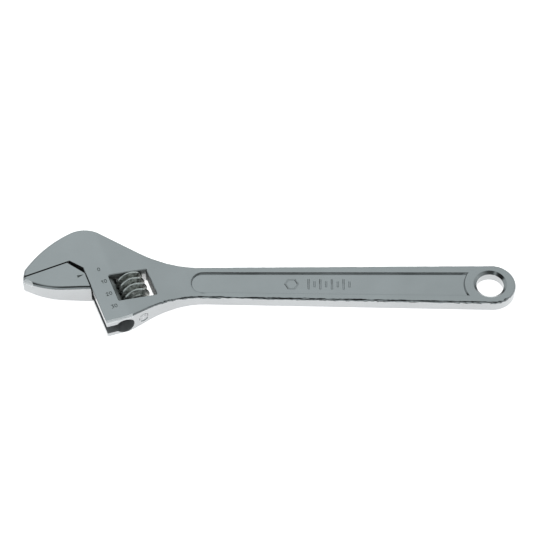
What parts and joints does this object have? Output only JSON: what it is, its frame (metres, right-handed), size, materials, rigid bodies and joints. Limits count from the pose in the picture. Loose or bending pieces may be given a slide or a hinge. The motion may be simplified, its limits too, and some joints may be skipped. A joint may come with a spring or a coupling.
{
  "type": "adjustable wrench",
  "caption": "Chromed adjustable wrench with a sliding jaw on a keyhole rail, a worm and rack to set the opening, and a flat handle with a sunk panel and hanging hole.",
  "frame": {"origin": "under the middle of the whole wrench's bounding box, on the plane that the wrench lies on", "axes": "+X along the handle to the hanging hole, +Y across it to the back of the fixed jaw, +Z through the thickness"},
  "size_m": [0.3048, 0.0722, 0.0185],
  "materials": {
    "chrome_forging": "satin chrome plate over a forging, with faint polishing lines and slight waves",
    "chrome_jaw": "satin chrome plate over a forging",
    "worm_steel": "turned steel, bright on the crests and darker in the groove",
    "pin_steel": "turned steel",
    "spring_steel": "dark drawn spring wire"
  },
  "bodies": {
    "body": {"wrench_body": "chrome_forging", "worm_pin": "pin_steel", "worm_spring": "spring_steel"},
    "jaw": {"slide_jaw": "chrome_jaw"},
    "worm": {"worm": "worm_steel"}
  },
  "joints": [
    {"name": "jaw_slide", "type": "slide", "parent": "body", "child": "jaw", "axis": [0.3697, -0.9291, 0], "range_m": [0, 0.034]},
    {"name": "worm_spin", "type": "hinge", "parent": "body", "child": "worm", "pos_m": [-0.08429, -0.00628, 0.00925], "axis": [0.3697, -0.9291, 0], "range_deg": [-2661.4, 0]}
  ],
  "couplings": [
    {"joint": "worm_spin", "follows": "jaw_slide", "rad_per_m": -1365.9}
  ]
}
